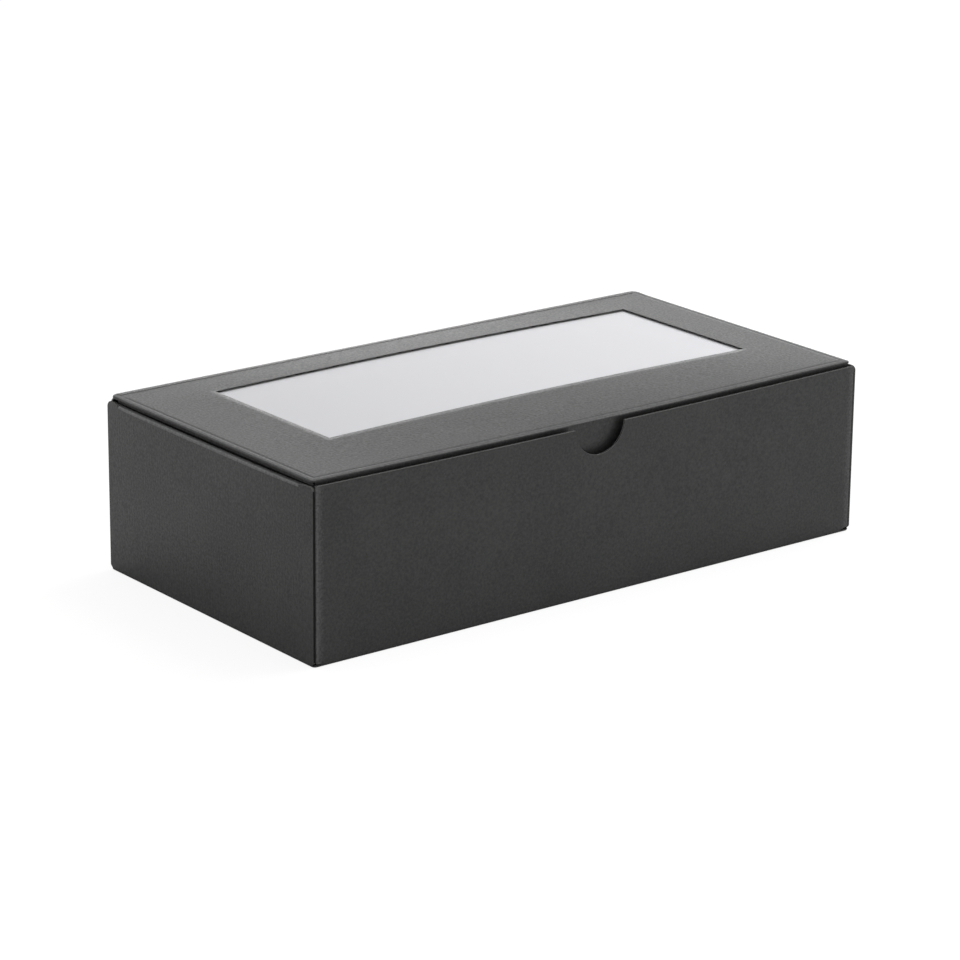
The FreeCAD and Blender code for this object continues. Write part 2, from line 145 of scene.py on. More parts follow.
def placed(name, data):
    """A new object with the data, put into the scene."""
    piece = bpy.data.objects.new(name, data)
    bpy.context.scene.collection.objects.link(piece)
    return piece


def signed_volume(points):
    """Six times the volume inside a grid whose rows are closed loops."""
    a = points[:-1]
    b = points[1:]
    c = np.roll(b, -1, axis=1)
    d = np.roll(a, -1, axis=1)
    first = np.einsum("ijk,ijk->", a, np.cross(b, c))
    second = np.einsum("ijk,ijk->", a, np.cross(c, d))
    return first + second


def piece_from_grid(name, points, materials, kind=None, corner_uv=None, rub_and_highlight=None, sharp=38):
    """A closed piece from a grid of points (station, place round the section, xyz).

    Each station's points are a closed loop, and the first and the last loop are flat, so
    that merging equal points closes the ends. kind gives each quad its material. The
    corner coordinates are millimetres along and across a cut edge. The mask of rubbed
    paper and painted highlight is 0 to 1.
    """
    stations, around = points.shape[:2]
    index = np.arange(stations * around).reshape(stations, around)
    beside = np.roll(index, -1, axis=1)
    quads = np.stack([index[:-1], index[1:], beside[1:], beside[:-1]], axis=-1)
    kinds = np.zeros(quads.shape[:2], int) if kind is None else kind
    uvs = np.zeros(quads.shape[:2] + (4, 2)) if corner_uv is None else corner_uv
    if signed_volume(points) < 0:
        quads = quads[..., ::-1]
        uvs = uvs[..., ::-1, :]
    mesh = bpy.data.meshes.new(name)
    mesh.from_pydata((points.reshape(-1, 3) * MM).tolist(), [], quads.reshape(-1, 4).tolist())
    for material in materials:
        mesh.materials.append(material)
    mesh.polygons.foreach_set("material_index", kinds.reshape(-1).astype(np.int32))
    layer = mesh.uv_layers.new(name="cut_edge_mm")
    layer.data.foreach_set("uv", uvs.reshape(-1).astype(np.float32))
    rub_highlight_level = mesh.attributes.new("rub_and_highlight", "FLOAT", "POINT")
    rub_highlight_values = np.zeros(stations * around) if rub_and_highlight is None else rub_and_highlight.reshape(-1)
    rub_highlight_level.data.foreach_set("value", rub_highlight_values.astype(np.float32))
    tidy = bmesh.new()
    tidy.from_mesh(mesh)
    bmesh.ops.remove_doubles(tidy, verts=tidy.verts, dist=1e-6)
    tidy.to_mesh(mesh)
    tidy.free()
    mesh.polygons.foreach_set("use_smooth", np.ones(len(mesh.polygons), bool))
    mesh.set_sharp_from_angle(angle=math.radians(sharp))
    return placed(name, mesh)


def corners_of(values):
    """A grid's values at the four corners of each quad."""
    beside = np.roll(values, -1, axis=1)
    return np.stack([values[:-1], values[1:], beside[1:], beside[:-1]], axis=-1)


def spread(start, stop, step):
    """Even places from start to stop, no further apart than step."""
    count = max(2, int(math.ceil(abs(stop - start) / step)) + 1)
    return np.linspace(start, stop, count)


def smooth_max(a, b, radius):
    """The larger of two heights, with the corner between them rounded."""
    return 0.5 * (a + b + np.sqrt((a - b) ** 2 + radius ** 2))


FACE, CUT, CUT_ACROSS, RIM = 0, 1, 2, 3  # kinds of surface on a board piece


def board_panel(name, stations, low, high, to_space, cuts, materials, folds=(0, 0), rows=14):
    """A panel of board between two outlines that are functions of the place along it.

    At each station a closed section runs up the outer face, over the top edge, down the
    inner face and across the bottom edge: height = low + share x (high - low), depth =
    plus or minus half the board. The depth shrinks to nothing at both ends, which closes
    them. folds gives the crease radius at the first and last end, where the outer face
    rounds off as a quarter circle. cuts names the kind of the (top, bottom, end) edges.
    """
    half = BOARD / 2
    first, last = stations[0], stations[-1]
    way = 1.0 if last > first else -1.0
    edge = [first, first, first + way * CRUSH]
    inside = stations[(np.abs(stations - first) > CRUSH) & (np.abs(stations - last) > CRUSH)]
    tail = [last - way * CRUSH, last, last]
    quarter = 1 - np.cos(np.linspace(0, math.pi / 2, 7))
    fold_places = []
    if folds[0]:
        fold_places.extend(first + way * folds[0] * quarter)
    if folds[1]:
        fold_places.extend(last - way * folds[1] * quarter)
    along = np.concatenate([edge, inside, fold_places, tail])
    order = np.argsort(way * along, kind="stable")
    along = along[order]
    lows = np.interp(way * along, way * stations, low)
    highs = np.interp(way * along, way * stations, high)
    count = len(along)
    outer = np.full(count, half)
    inner = np.full(count, half)
    for place in (0, 1, count - 2, count - 1):
        closed = 0.0 if place in (0, count - 1) else half - CRUSH
        outer[place] = closed
        inner[place] = closed
    for end, radius, rim in ((first, folds[0], 1), (last, folds[1], count - 2)):
        if radius:
            short = np.clip(radius - np.abs(along - end), 0, radius)
            drop = radius - np.sqrt(np.clip(radius ** 2 - short ** 2, 0, None))
            outer[1:-1] = np.minimum(outer[1:-1], half - drop[1:-1])
            outer[rim] = half - radius
    share = np.linspace(0, 1, rows)[None, :]
    bottom = (lows + CRUSH)[:, None]
    top = (highs - CRUSH)[:, None]
    face_height = bottom + share * (top - bottom)
    ones = np.ones((1, rows))
    rim_outer = np.maximum(outer - CRUSH, -inner)[:, None]
    rim_inner = np.maximum(inner - CRUSH, 0)[:, None]
    height = np.concatenate([
        face_height, highs[:, None], highs[:, None],
        face_height[:, ::-1], lows[:, None], lows[:, None],
    ], axis=1)
    depth = np.concatenate([
        outer[:, None] * ones, rim_outer, -rim_inner,
        -inner[:, None] * ones, -rim_inner, rim_outer,
    ], axis=1)
    place_along = np.repeat(along[:, None], height.shape[1], axis=1)
    kind = np.full((count - 1, height.shape[1]), FACE)
    top_rim, bottom_rim = slice(rows - 1, rows + 2), slice(2 * rows + 1, None)
    kind[:, top_rim] = cuts[0]
    kind[:, bottom_rim] = cuts[1]
    across = half - depth
    a, h, n = corners_of(place_along), corners_of(height), corners_of(across)
    uv = np.stack([a, h], axis=-1)
    rims = np.zeros(kind.shape, bool)
    rims[:, top_rim] = True
    rims[:, bottom_rim] = True
    uv = np.where(rims[..., None, None], np.stack([a, n], axis=-1), uv)
    ends = np.zeros(kind.shape, bool)
    ends[:2] = not folds[0]
    ends[-2:] = not folds[1]
    kind = np.where(ends, cuts[2], kind)
    uv = np.where(ends[..., None, None], np.stack([h, n], axis=-1), uv)
    points = np.stack(to_space(place_along, height, depth), axis=-1)
    # Paler paper round each fold: rubbing, and a painted highlight on the rounded fold.
    rub_and_highlight = np.zeros(height.shape)
    for end, radius in ((first, folds[0]), (last, folds[1])):
        if radius:
            rub_and_highlight_share = np.clip(1 - np.abs(place_along - end) / (radius * RUB_HIGHLIGHT_REACH), 0, 1)
            rub_and_highlight = np.maximum(rub_and_highlight, rub_and_highlight_share)
    return piece_from_grid(name, points, materials, kind, uv, rub_and_highlight)


# Colours and materials.

def colour(hex_code):
    """A linear colour from an sRGB hex code."""
    parts = [int(hex_code[i:i + 2], 16) / 255 for i in (1, 3, 5)]
    linear = [p / 12.92 if p <= 0.04045 else ((p + 0.055) / 1.055) ** 2.4 for p in parts]
    return (*linear, 1.0)


def add(tree, kind, links=None, **settings):
    """Adds a node, sets its settings, and fills each input with a value or a link."""
    made = tree.nodes.new(kind)
    for name, value in settings.items():
        setattr(made, name, value)
    for socket, value in (links or {}).items():
        if isinstance(value, bpy.types.NodeSocket):
            tree.links.new(value, made.inputs[socket])
        else:
            made.inputs[socket].default_value = value
    return made


def per_metre(size):
    """A texture scale whose features measure the given millimetres."""
    return 1000.0 / size


def noise(tree, place, size, detail, **inputs):
    """The level of a noise whose features measure size, in millimetres."""
    links = {"Vector": place, "Scale": per_metre(size), "Detail": detail, **inputs}
    return add(tree, "ShaderNodeTexNoise", links).outputs["Fac"]


def maths(tree, operation, *values):
    """One step of arithmetic on numbers and links."""
    return add(tree, "ShaderNodeMath", dict(enumerate(values)), operation=operation).outputs[0]


def remap(tree, value, low=0.0, high=1.0, start=0.0, stop=1.0):
    """A level between low and high, carried over to the range from start to stop."""
    links = {"Value": value, "From Min": low, "From Max": high, "To Min": start, "To Max": stop}
    return add(tree, "ShaderNodeMapRange", links).outputs[0]


def mix(tree, share, first, second):
    """A colour between two others."""
    links = {"Factor": share, MIX_FIRST: first, MIX_SECOND: second}
    return add(tree, "ShaderNodeMix", links, data_type="RGBA").outputs[MIX_RESULT]


def bump(tree, height, strength, distance):
    """The normal of a relief. The distance is in metres."""
    links = {"Height": height, "Strength": strength, "Distance": distance}
    return add(tree, "ShaderNodeBump", links).outputs["Normal"]


def principled(tree, tone, rough, normal, more):
    """The surface's shader. more holds the inputs that only some materials set."""
    links = {"Base Color": tone, "Roughness": rough, "Normal": normal, **more}
    return add(tree, "ShaderNodeBsdfPrincipled", links).outputs["BSDF"]


def new_material(name):
    """An empty material with its node tree, and the object's own coordinates in it."""
    material = bpy.data.materials.new(name)
    material.use_nodes = True
    tree = material.node_tree
    tree.nodes.clear()
    return material, tree, add(tree, "ShaderNodeTexCoord").outputs["Object"]


def finished(material, shader):
    """The material, with the shader as its surface."""
    add(material.node_tree, "ShaderNodeOutputMaterial", {"Surface": shader})
    return material


MIX_FIRST, MIX_SECOND, MIX_RESULT = 6, 7, 2  # the mix node's sockets for colours
ONE_BAND = 0.31416  # wave texture scale that gives one band to a unit of length
BOARD_IOR, FILM_IOR, GLUE_IOR = 1.5, 1.57, 1.48


def black_liner(name, flute_axis):
    """Dyed-through kraft liner on micro-flute board, uncoated and calendered.

    To the eye: near-black, a soft sheen at low angles, fibre speckle of about a
    millimetre, a faint ripple over the flutes, and paler paper at folds and rims: rubbed
    paper, with a painted highlight.
    """
    material, tree, place = new_material(name)
    fleck = noise(tree, place, size=1.3, detail=2.0, Roughness=0.6)
    cloud = noise(tree, place, size=45, detail=2.0, Roughness=0.5)
    fine = noise(tree, place, size=0.5, detail=1.0, Roughness=0.6)
    speckle = maths(tree, "ADD", fleck, maths(tree, "MULTIPLY", cloud, 0.4))
    level = remap(tree, speckle, low=0.5, high=0.9)
    paper = mix(tree, level, colour("#101010"), colour("#2b2b2a"))
    # Where the rub mask is set, the paper is lightened towards #5c5c5c: rubbed paper and a painted
    # highlight.
    rub_and_highlight_share = add(tree, "ShaderNodeAttribute", attribute_name="rub_and_highlight").outputs["Fac"]
    rub_and_highlight = remap(tree, maths(tree, "MULTIPLY", rub_and_highlight_share, fleck), low=0.05, high=0.5)
    tone = mix(tree, rub_and_highlight, paper, colour("#5c5c5c"))
    rough = remap(tree, fleck, low=0.3, high=0.7, start=0.5, stop=0.36)
    bands = {"Vector": place, "Scale": ONE_BAND * per_metre(FLUTE), "Distortion": 0.0}
    wave = add(tree, "ShaderNodeTexWave", bands, wave_type="BANDS", bands_direction=flute_axis)
    ripple = maths(tree, "MULTIPLY", wave.outputs["Fac"], 0.12)
    grain = maths(tree, "ADD", maths(tree, "MULTIPLY", fine, 0.5), fleck)
    relief = maths(tree, "ADD", grain, ripple)
    normal = bump(tree, relief, strength=0.6, distance=0.00012)
    return finished(material, principled(tree, tone, rough, normal, {"IOR": BOARD_IOR}))


def cut_edge(name, across_flutes, dark, pale):
    """The cut edge of micro-flute board: two liners and the fluted medium between them.

    To the eye: torn dark-grey paper fibre round small hollows, painted near-black as shade.
    Cut across the flutes, the medium is a sine between the liners. Cut along them, it wanders.
    """
    material, tree, place = new_material(name)
    spot = add(tree, "ShaderNodeUVMap", uv_map="cut_edge_mm").outputs["UV"]
    parts = add(tree, "ShaderNodeSeparateXYZ", {"Vector": spot}).outputs
    along, depth = parts["X"], parts["Y"]
    if across_flutes:
        wave = maths(tree, "SINE", maths(tree, "MULTIPLY", along, 2 * math.pi / FLUTE))
    else:
        line = {"W": along, "Scale": 0.12, "Detail": 1.0}
        drift = add(tree, "ShaderNodeTexNoise", line, noise_dimensions="1D").outputs["Fac"]
        wave = remap(tree, drift, low=0.3, high=0.7, start=-1.0, stop=1.0)
    middle, liner_face = BOARD / 2, BOARD / 2 - LINER
    medium_line = maths(tree, "ADD", maths(tree, "MULTIPLY", wave, liner_face), middle)
    off_medium = maths(tree, "ABSOLUTE", maths(tree, "SUBTRACT", depth, medium_line))
    medium = remap(tree, off_medium, low=0.1, high=0.18, start=1.0, stop=0.0)
    off_middle = maths(tree, "ABSOLUTE", maths(tree, "SUBTRACT", depth, middle))
    liner = remap(tree, off_middle, low=liner_face - 0.04, high=liner_face + 0.02)
    solid = maths(tree, "MAXIMUM", medium, liner)
    torn = noise(tree, place, size=0.5, detail=3.0, Roughness=0.7)
    paper = mix(tree, torn, colour(dark), colour(pale))
    # Off the liners and the medium the edge is #0d0d0c: painted shade inside the open flutes.
    tone = mix(tree, solid, colour("#0d0d0c"), paper)
    rough = remap(tree, torn, start=0.78, stop=0.95)
    normal = bump(tree, maths(tree, "ADD", solid, torn), strength=0.6, distance=0.00015)
    dull = {"IOR": BOARD_IOR, "Specular IOR Level": 0.1}
    return finished(material, principled(tree, tone, rough, normal, dull))


def clear_film():
    """Clear PET film, extruded, 0.15 mm.

    To the eye: nothing but a mirror-like sheen that grows at low angles, over a very
    faint waviness where the glue pulls it.
    """
    material, tree, place = new_material("clear PET film")
    drawn = noise(tree, place, size=60, detail=1.0)
    normal = bump(tree, drawn, strength=0.1, distance=0.001)
    smear = noise(tree, place, size=25, detail=3.0)
    rough = remap(tree, smear, start=0.05, stop=0.12)
    mirror = principled(tree, colour("#f5f5f6"), rough, normal, {"IOR": FILM_IOR})
    through = add(tree, "ShaderNodeBsdfTransparent", {"Color": colour("#fcfcfd")}).outputs["BSDF"]
    share = add(tree, "ShaderNodeFresnel", {"IOR": FILM_IOR, "Normal": normal}).outputs["Fac"]
    both = add(tree, "ShaderNodeMixShader", {0: share, 1: through, 2: mirror})
    return finished(material, both.outputs["Shader"])


def clear_glue():
    """Dried water-based glue: a clear, slightly yellow, uneven bead."""
    material, tree, place = new_material("dried clear glue")
    blob = noise(tree, place, size=3, detail=2.0)
    tone = mix(tree, blob, colour("#cfc9b4"), colour("#e6e2d4"))
    rough = remap(tree, blob, start=0.2, stop=0.4)
    normal = bump(tree, blob, strength=0.5, distance=0.0002)
    clear = {"IOR": GLUE_IOR, "Alpha": 0.6}
    return finished(material, principled(tree, tone, rough, normal, clear))


def white_fibre():
    """Polyester fibrefill, carded: bright white, dull, with crossing crimped fibres.

    A single fibre is far too thin to show, so strands are drawn 0.3 mm thick. The carded
    web is laid in plies, which show as faint level lines on the sides.
    """
    material, tree, place = new_material("carded polyester fibre")
    strands = None
    for angle, thick in ((0.3, 0.3), (1.4, 0.35), (2.5, 0.3)):
        drawn_out = {"Vector": place, "Rotation": (0, 0, angle), "Scale": (0.09, 1.0, 1.0)}
        turned = add(tree, "ShaderNodeMapping", drawn_out).outputs["Vector"]
        hair = noise(tree, turned, size=thick * 3, detail=2.0, Distortion=0.6)
        strands = hair if strands is None else maths(tree, "MAXIMUM", strands, hair)
    tuft = noise(tree, place, size=14, detail=2.0)
    flattened = {"Vector": place, "Scale": (0.05, 0.05, 1.0)}
    laid = add(tree, "ShaderNodeMapping", flattened).outputs["Vector"]
    plies = noise(tree, laid, size=3, detail=2.0, Distortion=0.3)
    height = maths(tree, "ADD", strands, tuft)
    relief = maths(tree, "ADD", height, maths(tree, "MULTIPLY", plies, 1.5))
    level = remap(tree, height, low=0.8, high=1.35)
    tone = mix(tree, level, colour("#efeff0"), colour("#f3f3f4"))
    rough = remap(tree, strands, start=1.0, stop=0.85)
    normal = bump(tree, relief, strength=0.25, distance=0.001)
    soft = {"Specular IOR Level": 0.3, "Sheen Weight": 0.2, "Sheen Roughness": 0.5}
    return finished(material, principled(tree, tone, rough, normal, soft))


LINER_FLAT = black_liner("black kraft liner, flat panels", "Y")
LINER_LONG = black_liner("black kraft liner, flutes along the box", "Z")
LINER_SIDE = black_liner("black kraft liner, flutes upright", "Y")
# The pale rim edge: cut-edge fuzz, lightened to #4c4c4b to #7c7c7b as a painted highlight.
HIGHLIT_RIM_EDGE = cut_edge("board cut along the flutes, fuzzy rim", False, "#4c4c4b", "#7c7c7b")
# Darkened to #141414 and #2d2d2d: painted shade on the side panels' raw ends, which sit in corner
# seams.
SHADED_RAW_END = cut_edge("board cut along the flutes", False, "#141414", "#2d2d2d")
CUT_FLUTES = cut_edge("board cut across the flutes", True, "#242424", "#474746")
FILM = clear_film()
GLUE = clear_glue()
FIBRE = white_fibre()

# The materials of a board piece, in the order of FACE, CUT, CUT_ACROSS and RIM. The pale rim edge
# carries a painted highlight, and the side pieces' dark CUT edge painted shade.
FLAT_STUFF = (LINER_FLAT, HIGHLIT_RIM_EDGE)
LONG_STUFF = (LINER_LONG, HIGHLIT_RIM_EDGE, CUT_FLUTES)
SIDE_STUFF = (LINER_SIDE, SHADED_RAW_END, CUT_FLUTES, HIGHLIT_RIM_EDGE)


def board_piece(piece, body, node):
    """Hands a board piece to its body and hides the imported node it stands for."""
    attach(piece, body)
    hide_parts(node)


# The tray.

def corner_rise(places, end, radius):
    """How far a quarter circle at plus and minus end lifts an outline's corners."""
    past = np.clip(np.abs(places) - (end - radius), 0, radius)
    return radius - np.sqrt(radius ** 2 - past ** 2)


def front_wall():
    """The front wall. Its top is level less the sag, and a half circle is cut out of it."""
    left_end, right_end = FRONT_HIGH[0] - SEAM, FRONT_HIGH[0] - TIGHT_SEAM
    angles = np.linspace(0, math.pi, 49)
    notch = -NOTCH_RADIUS * np.cos(angles)
    left = spread(-left_end, -NOTCH_RADIUS, 6)
    right = spread(NOTCH_RADIUS, right_end, 6)
    stations = np.concatenate([left, notch, right])
    bite = NOTCH_RADIUS * np.sin(angles)
    depth_of_notch = np.concatenate([np.zeros(len(left)), bite, np.zeros(len(right))])
    high = WALL_TOP - np.maximum(front_dip(stations), depth_of_notch)
    low = FRONT_LOW[2] + corner_rise(stations, right_end, BEND)
    middle = (FRONT_LOW[1] + FRONT_HIGH[1]) / 2

    def to_space(along, height, depth):
        return along, middle - depth - front_bow(along, height), height

    # The wall's cut top takes the pale rim edge: a painted highlight along it.
    wall = board_panel(
        "front_wall_board", stations, low, high, to_space,
        (CUT, FACE, FACE), LONG_STUFF, folds=(BEND, TIGHT_BEND), rows=22,
    )
    board_piece(wall, "tray", "front_wall")


def back_wall():
    """The back wall, plain, with its ends folded round."""
    end = BACK_HIGH[0] - SEAM
    rounded = spread(end, end - BACK_CORNER, 0.4)
    straight = spread(end - BACK_CORNER, BACK_CORNER - end, 8)[1:-1]
    stations = np.concatenate([rounded, straight, -rounded[::-1]])
    low = BACK_LOW[2] + corner_rise(stations, end, BEND)
    high = BACK_HIGH[2] - corner_rise(stations, end, BACK_CORNER)
    middle = (BACK_LOW[1] + BACK_HIGH[1]) / 2

    def to_space(along, height, depth):
        return along, middle + depth, height

    wall = board_panel(
        "back_wall_board", stations, low, high, to_space,
        (FACE, FACE, FACE), LONG_STUFF, folds=(BEND, BEND), rows=18,
    )
    board_piece(wall, "tray", "back_wall")


def off_centre(low, high):
    """How far a side panel's own middle lies from the middle of the box."""
    return (abs(low[0]) + abs(high[0])) / 2


def side_space(side, middle, bow):
    """Puts a side panel's points at its distance from the middle of the box, bowed out."""
    def to_space(along, height, depth):
        return side * (middle + depth + side_bow(along, height, bow)), along, height
    return to_space


def outer_wall(side, name, bow):
    """An outer side wall: under the ridge, and past it sloping up to rounded raw ends."""
    end, ridge = OUTER_HIGH[1], RIDGE_HIGH[1]
    corner = end - CORNER * (1 - np.cos(np.linspace(0, math.pi / 2, 9)))
    outside = np.concatenate([corner, spread(end - CORNER, ridge, 0.5)[1:]])
    step = ridge - 0.01
    stations = np.concatenate([-outside, spread(-step, step, 6), outside[::-1]])
    rise = corner_rise(stations, end, CORNER)
    top_rise = np.where(stations > 0, corner_rise(stations, end, BACK_CORNER), rise)
    slope_run = 4
    slope = np.interp(np.abs(stations), (ridge, ridge + slope_run), (RIDGE_HIGH[2], WALL_END_TOP))
    high = np.where(np.abs(stations) < ridge, RIDGE_LOW[2], slope - top_rise)
    low = OUTER_LOW[2] + rise
    middle = off_centre(OUTER_LOW, OUTER_HIGH)
    # The left wall's raw ends take the dark cut edge: painted shade.
    ends = CUT if side < 0 else FACE  # the right wall's ends are pressed flat
    # The wall's top takes the pale rim edge: a painted highlight.
    wall = board_panel(
        f"{name}_outer_board", stations, low, high, side_space(side, middle, bow),
        (RIM, FACE, ends), SIDE_STUFF, rows=18,
    )
    board_piece(wall, "tray", f"{name}_outer_wall")


def inner_wall(side, name, bow):
    """An inner side wall with the two tabs that lock into the base."""
    end = INNER_HIGH[1]
    stations = [spread(-end, end, 5)]
    tab_centre, tab_half, lead = 46.0, 15.0, 2.0
    for centre in (-tab_centre, tab_centre):
        stations.append(centre + np.array([-tab_half, -tab_half + lead, tab_half - lead, tab_half]))
    stations = np.unique(np.concatenate(stations))
    off_tab = np.abs(np.abs(stations) - tab_centre)
    low = np.interp(off_tab, [tab_half - lead, tab_half], [INNER_LOW[2], BOARD])
    high = np.full(len(stations), INNER_HIGH[2])
    middle = off_centre(INNER_LOW, INNER_HIGH)
    wall = board_panel(
        f"{name}_inner_board", stations, low, high, side_space(side, middle, bow),
        (FACE, CUT_ACROSS, CUT), SIDE_STUFF, rows=14,
    )
    board_piece(wall, "tray", f"{name}_inner_wall")


def ridge_section():
    """The ridge's closed section: flat on top, a quarter circle down each long side."""
    width, thick = RIDGE_HIGH[0] - RIDGE_LOW[0], BOARD
    turn = np.linspace(0, math.pi / 2, 7)
    outer = np.stack([FOLD - FOLD * np.cos(turn), thick - FOLD + FOLD * np.sin(turn)], axis=1)
    inner = np.stack(
        [width - FOLD + FOLD * np.sin(turn), thick - FOLD + FOLD * np.cos(turn)], axis=1)
    flat = np.array([[width / 2, thick]])
    under = np.array([[width, 0.0], [0.0, 0.0]])
    return np.concatenate([outer, flat, inner, under])


def ridge(side, name, bow):
    """The rolled ridge: one section carried along the wall.

    Past the straight middle it runs on behind the wall's raised ends, so there its outer
    side is held in by one board.
    """
    section = ridge_section()
    inwards, up = section[:, 0], section[:, 1]
    turn_in, end = RIDGE_HIGH[1], RIDGE_HIGH[1] + RIDGE_RUN
    run_on = spread(turn_in, end - 0.4, 1.5)
    half = np.concatenate([spread(0, turn_in - 0.5, 4), run_on, [end, end]])
    stations = np.concatenate([-half[:0:-1], half])
    along = np.repeat(stations[:, None], len(section), axis=1)
    behind = (BOARD + 0.05) * np.clip((np.abs(along) - turn_in + 0.5) / 0.5, 0, 1)
    inward = np.maximum(inwards[None, :], behind)
    height = np.repeat(RIDGE_LOW[2] + up[None, :], len(stations), axis=0)
    for closing in (0, -1):
        inward[closing] = inwards.max() * 0.6
        height[closing] = RIDGE_LOW[2] + BOARD / 2
        along[closing] = stations[closing]
    x = side * (abs(RIDGE_LOW[0]) - inward + side_bow(along, height, bow))
    points = np.stack([x, along, height], axis=-1)
    # The ridge's paper is lightened all along, most on its rounded sides: partly rubbing, partly a
    # painted highlight.
    rub_and_highlight_share = 0.6 + 0.25 * np.clip(np.abs(inwards - 1.8) - 0.75, 0, 1)
    rub_and_highlight = np.repeat(rub_and_highlight_share[None, :], len(stations), axis=0)
    kind = np.full((len(stations) - 1, len(section)), FACE)
    kind[:1] = CUT
    kind[-1:] = CUT
    uv = np.stack([corners_of(inward), corners_of(height - RIDGE_LOW[2])], axis=-1)
    piece = piece_from_grid(f"{name}_ridge_fold", points, SIDE_STUFF, kind, uv, rub_and_highlight)
    board_piece(piece, "tray", f"{name}_wall_ridge")


def corner_flap(side, end, name, bow):
    """A corner flap between the two side boards: it tapers to a rounded free end."""
    start, free = FLAP_HIGH[1], FLAP_LOW[1]
    radius, taper = 5.0, 7.0
    rounding = free + radius * (1 - np.cos(np.linspace(0, math.pi / 2, 9)))
    stations = np.concatenate([spread(start, free + radius, 6), rounding[::-1][1:]])
    share = (start - stations) / (start - free)
    past = np.clip(radius - (stations - free), 0, radius)
    round_off = radius - np.sqrt(radius ** 2 - past ** 2)
    low = FLAP_LOW[2] + taper * share + round_off
    high = FLAP_HIGH[2] - taper * share - round_off
    middle = off_centre(FLAP_LOW, FLAP_HIGH)
    flap = board_panel(
        f"{name}_board", end * stations, low, high, side_space(side, middle, bow),
        (CUT_ACROSS, CUT_ACROSS, CUT), SIDE_STUFF, rows=12,
    )
    board_piece(flap, "tray", name)


def base():
    """The base as packed, with its corners rounded below the walls' rounded corners.

    Cuts near each side give the corners enough points. There the square with a side of
    CORNER is drawn in to a quarter disc: (a, b) x max(a, b) / hypot(a, b).
    """
    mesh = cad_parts["bottom_panel"].data.copy()
    mesh.name = "base_board"
    tidy = bmesh.new()
    tidy.from_mesh(mesh)
    for axis in (0, 1):
        for inset in np.linspace(0.3, CORNER, 7):
            for side in (-1, 1):
                along = Vector((1, 0, 0)) if axis == 0 else Vector((0, 1, 0))
                place = along * side * (BASE_HIGH[axis] - inset) * MM
                parts = tidy.verts[:] + tidy.edges[:] + tidy.faces[:]
                bmesh.ops.bisect_plane(tidy, geom=parts, plane_co=place, plane_no=along)
    tidy.to_mesh(mesh)
    tidy.free()
    points = np.empty(len(mesh.vertices) * 3, np.float32)
    mesh.vertices.foreach_get("co", points)
    points = points.reshape(-1, 3) / MM
    past = np.clip(np.abs(points[:, :2]) - (BASE_HIGH[:2] - CORNER), 0, CORNER)
    both = past.min(axis=1) > 0
    pull = np.where(both, past.max(axis=1) / np.maximum(np.hypot(*past.T), 1e-6), 1.0)
    points[:, :2] -= np.sign(points[:, :2]) * past * (1 - pull)[:, None]
    mesh.vertices.foreach_set("co", (points * MM).astype(np.float32).reshape(-1))
    mesh.materials.clear()
    mesh.materials.append(LINER_FLAT)
    board_piece(placed("base_board", mesh), "tray", "bottom_panel")


def make_tray():
    front_wall()
    back_wall()
    for side, name in ((-1, "left"), (1, "right")):
        outer_wall(side, name, SIDE_BOW)
        inner_wall(side, name, SIDE_BOW)
        ridge(side, name, SIDE_BOW)
        corner_flap(side, -1, f"front_{name}_corner_flap", SIDE_BOW)
        corner_flap(side, 1, f"back_{name}_corner_flap", SIDE_BOW)
    base()


# The lid.

def ring(low, high, radius, per_side, per_corner=7, back_radius=0.0):
    """Points round a rectangle with rounded corners, counter-clockwise from the front left.

    radius rounds the two front corners, and back_radius the two at the hinge. Each side
    and each corner has the same number of points for any size, so rings of different
    sizes match point by point.
    """
    points = []
    radii = (radius, radius, back_radius, back_radius)
    corners = ((low[0], low[1]), (high[0], low[1]), (high[0], high[1]), (low[0], high[1]))
    turns = (math.pi, 1.5 * math.pi, 0.0, 0.5 * math.pi)
    inwards = ((1, 1), (-1, 1), (-1, -1), (1, -1))
    arcs = []
    for (x, y), turn, (sx, sy), r in zip(corners, turns, inwards, radii):
        angles = turn + np.linspace(0, math.pi / 2, per_corner)
        arc_x = x + sx * r + r * np.cos(angles)
        arc_y = y + sy * r + r * np.sin(angles)
        arcs.append(np.stack([arc_x, arc_y], axis=1))
    for here, after in zip(arcs, arcs[1:] + arcs[:1]):
        share = np.linspace(0, 1, per_side + 2)[1:-1, None]
        points.append(here)
        points.append(here[-1] + share * (after[0] - here[-1]))
    return np.concatenate(points)


